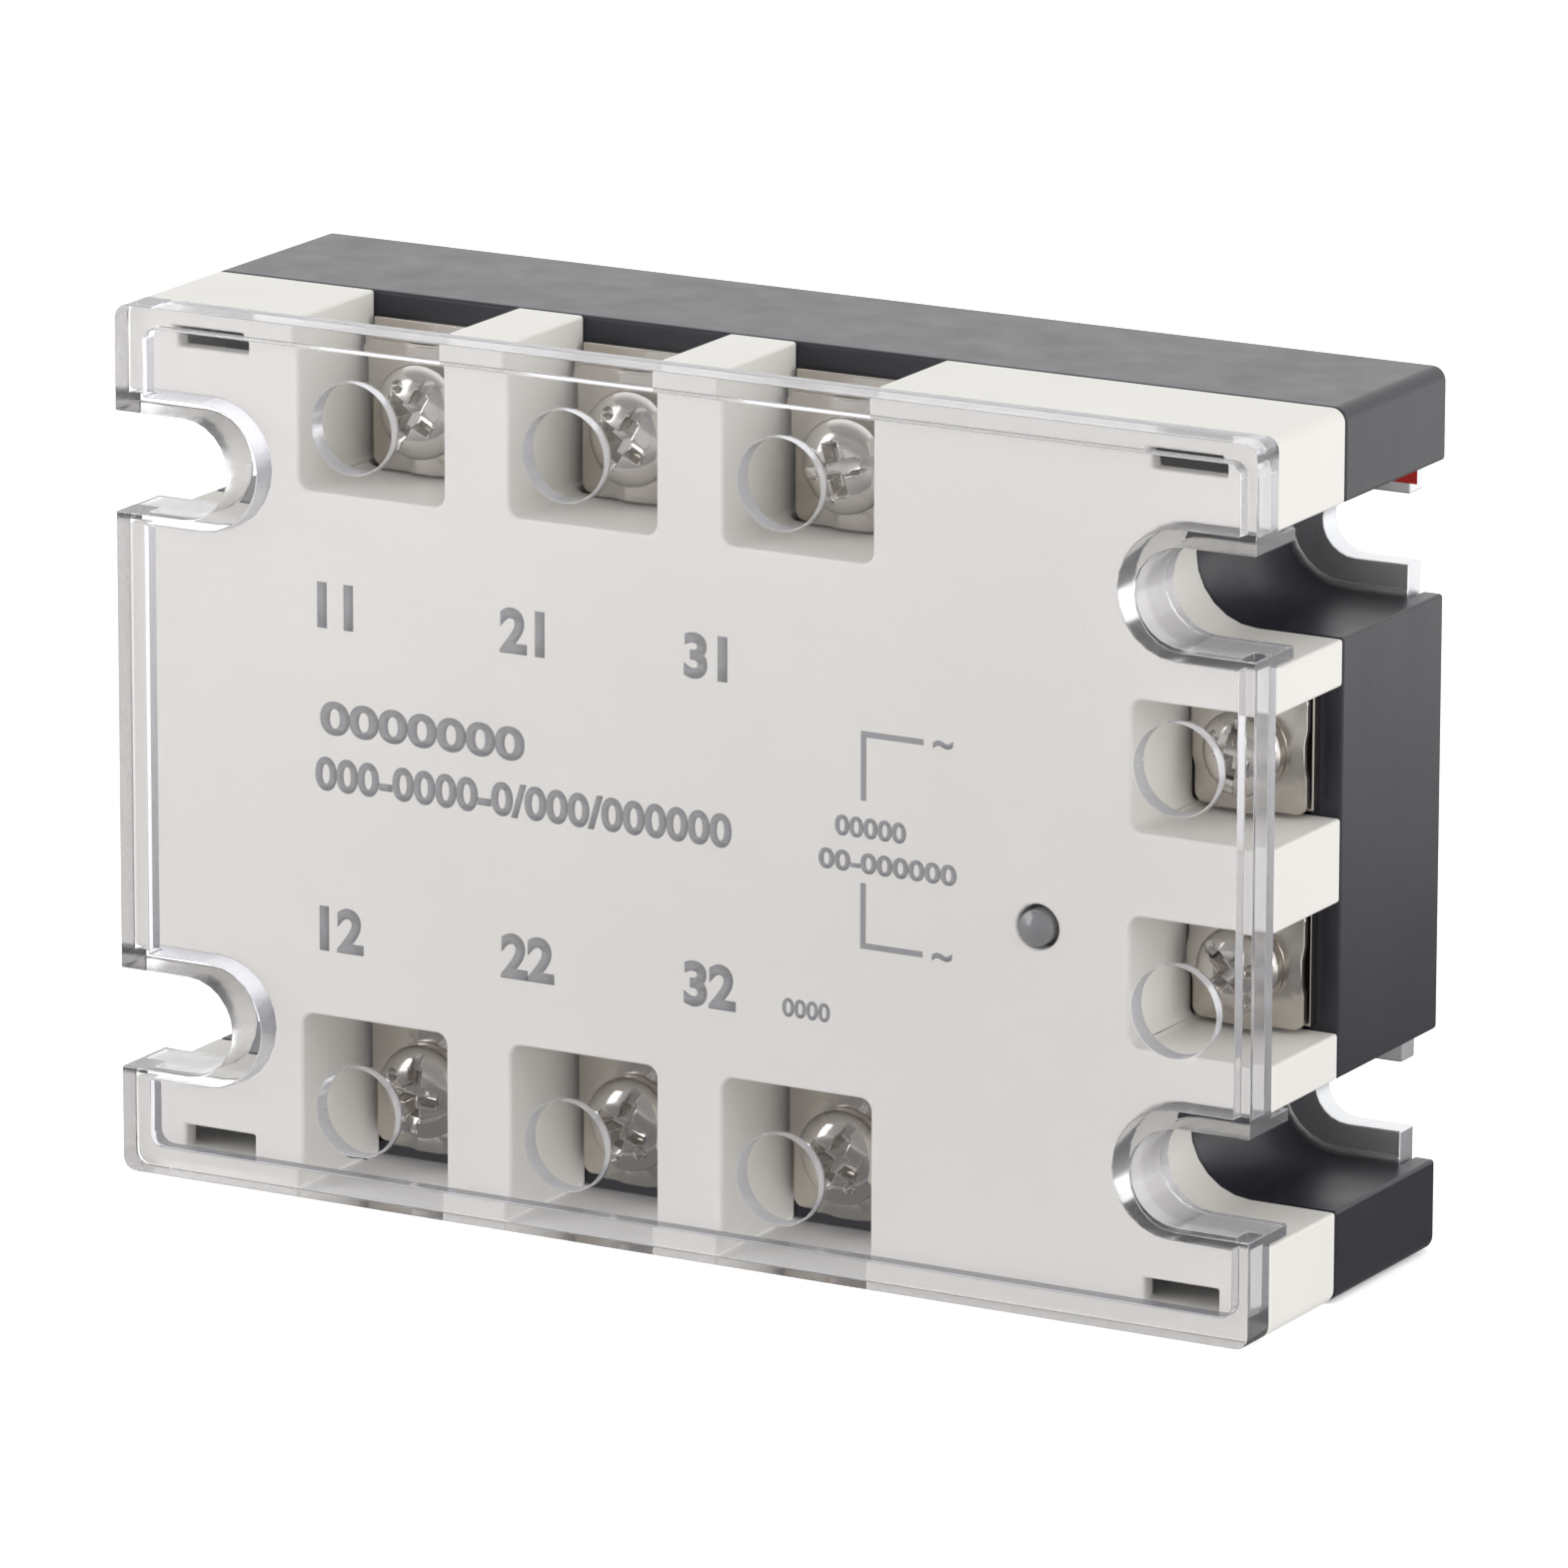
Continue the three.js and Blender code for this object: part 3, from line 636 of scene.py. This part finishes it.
def laidOnFront(bm):
    # turns a flat drawing in X and Y into one on the housing's front, as a closed film
    bmesh.ops.rotate(bm, cent=(0, 0, 0), matrix=Matrix.Rotation(math.pi / 2, 3, "X"), verts=bm.verts)
    bmesh.ops.translate(bm, vec=(0, frontFace, 0), verts=bm.verts)
    return bm


def thickened(bm):
    # a flat sheet becomes a closed film, half of it below the face it lies on
    bmesh.ops.recalc_face_normals(bm, faces=bm.faces)
    grown = bmesh.ops.extrude_face_region(bm, geom=bm.faces[:])["geom"]
    moved = [v for v in grown if isinstance(v, bmesh.types.BMVert)]
    bmesh.ops.translate(bm, vec=(0, 0, 2 * marks["film"]), verts=moved)
    bmesh.ops.translate(bm, vec=(0, 0, -marks["film"]), verts=bm.verts)
    bmesh.ops.recalc_face_normals(bm, faces=bm.faces)
    return bm


def textShape(words, height, weight, x, z):
    curve = bpy.data.curves.new("temporaryText", "FONT")
    curve.body = words
    curve.align_x = "CENTER"
    curve.align_y = "CENTER"
    curve.size = 1
    curve.offset = weight
    curve.resolution_u = 6
    holder = bpy.data.objects.new("temporaryText", curve)
    bpy.context.scene.collection.objects.link(holder)
    bpy.context.view_layer.update()
    mesh = bpy.data.meshes.new_from_object(holder, depsgraph=bpy.context.evaluated_depsgraph_get())
    bm = bmesh.new()
    bm.from_mesh(mesh)
    bpy.data.objects.remove(holder)
    bpy.data.curves.remove(curve)
    bpy.data.meshes.remove(mesh)
    bmesh.ops.remove_doubles(bm, verts=bm.verts, dist=0.0005)
    tall = max(v.co.y for v in bm.verts) - min(v.co.y for v in bm.verts)
    grown = height / tall
    middle = (max(v.co.y for v in bm.verts) + min(v.co.y for v in bm.verts)) / 2
    bmesh.ops.translate(bm, vec=(0, -middle, 0), verts=bm.verts)
    bmesh.ops.scale(bm, vec=(grown, grown, grown), verts=bm.verts)
    bmesh.ops.translate(bm, vec=(x, z, 0), verts=bm.verts)
    return bm


def barShape(x, z, width, height):
    bm = bmesh.new()
    bmesh.ops.create_grid(bm, x_segments=1, y_segments=1, size=0.5)
    bmesh.ops.scale(bm, vec=(width, height, 1), verts=bm.verts)
    bmesh.ops.translate(bm, vec=(x, z, 0), verts=bm.verts)
    return bm


def printMark(name, bm):
    newPiece(name, laidOnFront(thickened(bm)), finishes["ink"], "relay_body", "grey_lens")


def joined(shapes):
    whole = bmesh.new()
    for shape in shapes:
        mesh = bpy.data.meshes.new("temporary")
        shape.to_mesh(mesh)
        shape.free()
        whole.from_mesh(mesh)
        bpy.data.meshes.remove(mesh)
    return whole


def rowShape(words, x0, x1, z, height, weight):
    # a line of zeros stands for words, stretched to the length of the line
    bm = textShape(words, height * mm, weight, 0, 0)
    low = min(v.co.x for v in bm.verts)
    high = max(v.co.x for v in bm.verts)
    grown = (x1 - x0) * mm / (high - low)
    bmesh.ops.translate(bm, vec=(-(low + high) / 2, 0, 0), verts=bm.verts)
    bmesh.ops.scale(bm, vec=(grown, 1, 1), verts=bm.verts)
    bmesh.ops.translate(bm, vec=(across((x0 + x1) / 2), up(z), 0), verts=bm.verts)
    return bm


def bracketShape(x, zFar, zNear, xEnd):
    w = marks["bracketWidth"]
    upright = barShape(across(x), (up(zFar) + up(zNear)) / 2, w, abs(up(zFar) - up(zNear)) + w)
    arm = barShape((across(x) + w / 2 + across(xEnd)) / 2, up(zFar), across(xEnd) - across(x) - w / 2, w)
    return joined([upright, arm])


markLines = {
    # words, left and right ends, place up the front, height and weight of the figures
    "upperLine": ("0000000", 17.6, 37.0, 40.25, 2.9, 0.036),
    "lowerLine": ("000-0000-0/000/000000", 17.1, 56.3, 35.5, 2.9, 0.036),
    "inputLine": ("00000", 65.8, 72.3, 37.4, 1.75, 0.034),
    "rangeLine": ("00-000000", 64.3, 76.9, 34.5, 1.75, 0.034),
    "dateLine": ("0000", 61.0, 65.4, 21.6, 1.6, 0.03),
}
for column, x in enumerate(marks["numberColumns"]):
    for row, z in ((1, marks["upperRow"]), (2, marks["lowerRow"])):
        words = f"{column + 1}{row}"
        number = textShape(words, marks["numberHeight"], marks["numberWeight"], across(x), up(z))
        printMark(f"number_{words}", number)
for name, place in markLines.items():
    printMark(name, rowShape(*place))
for name, zFar, zNear in (("upperBracket", 45.15, 39.9), ("lowerBracket", 27.65, 32.6)):
    printMark(name, bracketShape(marks["bracketX"], zFar, zNear, marks["bracketEnd"]))
    wave = textShape("~", marks["waveHeight"], marks["waveWeight"], across(marks["waveX"]), up(zFar))
    printMark(name + "Wave", wave)


def paintPatch():
    # a worn dab of red paint on the plate, in the upper right slot's notch
    bm = bmesh.new()
    bmesh.ops.create_cube(bm, size=1)
    bmesh.ops.scale(bm, vec=(paint["width"], 2 * marks["film"], paint["height"]), verts=bm.verts)
    bmesh.ops.translate(bm, vec=(across(paint["x"]), paint["face"], up(paint["z"])), verts=bm.verts)
    newPiece("paintDab", bm, finishes["red"], "relay_body", "grey_lens")


paintPatch()
print("marks printed")


# the inner pieces keep their solids and only take a finish
innerFinish = {
    "driver_board": "board",
    "bridge_rectifier": "moulded",
    "film_capacitor": "film",
    "dropping_resistor": "lacquer",
    "optocoupler": "moulded",
    "substrate": "ceramic",
    "thyristor": "silicon",
    "gate_pin": "tinned",
}
for nodeName, node in frame["nodes"].items():
    wanted = [key for start, key in innerFinish.items() if nodeName.startswith(start)]
    if nodeName.endswith("_nut"):
        wanted = ["steel"]
    for key in wanted:
        for place in range(len(node.material_slots)):
            node.material_slots[place].material = finishes[key]
print("inner pieces finished")


def makeStage():
    bm = bmesh.new()
    bmesh.ops.create_grid(bm, x_segments=1, y_segments=1, size=6)
    bmesh.ops.translate(bm, vec=(0, 0, -0.05 * mm), verts=bm.verts)  # just under the object
    mesh = bpy.data.meshes.new("paleFloor")
    bm.to_mesh(mesh)
    bm.free()
    floor = bpy.data.objects.new("paleFloor", mesh)
    bpy.context.scene.collection.objects.link(floor)
    finish = Finish("paleFloor")
    cloud = finish.noise(3, 2)
    color = finish.mix(cloud, shade(0.93, 0.93, 0.93), shade(0.96, 0.96, 0.96))
    seen = studio["floorSeen"]
    mirrored = finish.node("ShaderNodeLightPath", output="Glossy Depth").math("GREATER_THAN", 0)
    bounced = finish.node("ShaderNodeLightPath", output="Diffuse Depth").math("GREATER_THAN", 0)
    # in reflections the floor glows dimly close to the object and in front of it and brightly further off:
    # painted shade and painted light that only the shiny parts see
    reach = finish.node("ShaderNodeVectorMath", {"operation": "LENGTH"}, [finish.coords], output="Value")
    depth = finish.node("ShaderNodeSeparateXYZ", None, [finish.coords], output="Y")
    away = smoothStep(finish, reach, *studio["floorReach"])
    inFront = studio["floorInFront"]
    behind = smoothStep(finish, depth, *studio["floorBehind"]) * (1 - inFront) + inFront
    near, far = studio["floorGlowInReflections"]
    mirror = finish.mix(away * behind, shade(near, near, near), shade(far, far, far))
    wide = finish.node("ShaderNodeSeparateXYZ", None, [finish.coords], output="X").math("ABSOLUTE")
    soft = studio["shadowEdge"]
    shadowMaskX = smoothStep(finish, wide, caseHigh.x + 0.5 * mm, caseHigh.x - 2 * mm)
    fromFront = smoothStep(finish, depth, coverLow.y, coverLow.y + soft)
    shadowMaskY = fromFront * smoothStep(finish, depth, plateHigh.y, plateHigh.y - soft)
    # right under the object the floor has no glow of its own, so it is darker there: the shadow's outline is
    # painted by this box mask, and the shade inside it comes from the lamps
    lit = finish.mix(shadowMaskX * shadowMaskY, shade(seen, seen, seen), shade(0, 0, 0))
    glow = finish.mix(mirrored, lit, mirror)
    glow = finish.mix(bounced, glow, shade(*[studio["below"]] * 3))
    # mirrored and bounced rays see only the floor's glow, so in reflections the floor shows only the painted
    # shade and light above
    color = finish.mix(mirrored.math("MAXIMUM", bounced), color, shade(0, 0, 0))
    mesh.materials.append(finish.surface(finish.principled(
        Base_Color=color, Roughness=0.9, Specular_IOR_Level=0.1,
        Emission_Color=glow, Emission_Strength=1.0)))
    # the floor is seen and mirrored, but the object stands in the light of the studio alone
    floor.visible_diffuse = False


studio = {
    "above": 0.77,
    "below": 0.85,
    "frontShare": 1.25,  # the light on the camera's side against that behind the object
    "frontMirrored": 0.5,  # the same, as the shiny parts see it
    "backMirrored": 0.48,  # how much brighter they see the room behind the object
    "floorSeen": 0.5,
    # the floor's reach, behind and in-front values place the painted shade that the floor shows in
    # reflections
    "floorReach": (0.07, 0.32),
    "floorBehind": (-0.12, 0.06),
    "floorInFront": 0.45,
    # how softly the painted shadow outline under the object fades at its front and back
    "shadowEdge": 3 * mm,
    # the floor's glow in reflections close to and far from the object: painted shade and painted light
    "floorGlowInReflections": (0.22, 1.3),
    "key": {"place": (-0.6, -0.55, 0.2), "size": 0.4, "power": 1.55},
    "side": {"place": (0.9, -0.1, 0.3), "size": 0.5, "power": 1.6},
}


def softLamp(name, place, size, power, aim=(0, 0, 0.035)):
    lamp = bpy.data.lights.new(name, "AREA")
    lamp.shape = "SQUARE"
    lamp.size = size
    lamp.energy = power
    holder = bpy.data.objects.new(name, lamp)
    bpy.context.scene.collection.objects.link(holder)
    holder.location = place
    holder.rotation_euler = (Vector(aim) - Vector(place)).to_track_quat("-Z", "Y").to_euler()
    return holder


def smoothStep(room, value, low, high):
    return room.node(
        "ShaderNodeMapRange", {"interpolation_type": "SMOOTHSTEP"},
        {"Value": value, "From Min": low, "From Max": high})


def lightStudio():
    # the room is bright above, dim below and dimmer on the camera's side
    world = bpy.data.worlds.new("studio")
    room = Finish("studio", world)
    height = room.node("ShaderNodeSeparateXYZ", None, [room.coords], output="Z")
    depth = room.node("ShaderNodeSeparateXYZ", None, [room.coords], output="Y")
    upper = smoothStep(room, height, -0.15, 0.35)
    front = smoothStep(room, depth, 0.3, -0.6)
    light = upper * studio["above"] + (1 - upper) * studio["below"]
    mirrored = room.node("ShaderNodeLightPath", output="Glossy Depth").math("GREATER_THAN", 0)
    lost = mirrored * (studio["frontShare"] - studio["frontMirrored"]) + (1 - studio["frontShare"])
    light = light * (1 - front * lost) * (1 + mirrored * (1 - front) * studio["backMirrored"])
    room.surface(room.node("ShaderNodeBackground", None, {"Color": shade(1, 1, 1), "Strength": light}))
    bpy.context.scene.world = world
    for name in ("key", "side"):
        softLamp(name + "Lamp", **studio[name])
    bpy.context.scene.view_settings.view_transform = "Standard"


camera = {
    "place": (489.1 * mm, -869.3 * mm, 291.7 * mm),
    "ahead": (-0.4742, 0.8447, -0.2483),
    "up": (-0.1234, 0.2154, 0.9687),
    "lens": 290.2,
}


def placeCamera():
    lens = bpy.data.cameras.new("camera")
    lens.lens = camera["lens"]
    lens.sensor_width = 36
    lens.clip_start = 0.01
    lens.clip_end = 50
    holder = bpy.data.objects.new("camera", lens)
    bpy.context.scene.collection.objects.link(holder)
    back = -Vector(camera["ahead"]).normalized()
    right = Vector(camera["up"]).cross(back).normalized()
    up = back.cross(right)
    turn = Matrix((right, up, back)).transposed()
    holder.matrix_world = Matrix.Translation(camera["place"]) @ turn.to_4x4()
    bpy.context.scene.camera = holder


makeStage()
lightStudio()
placeCamera()
print("stage, light and camera set")
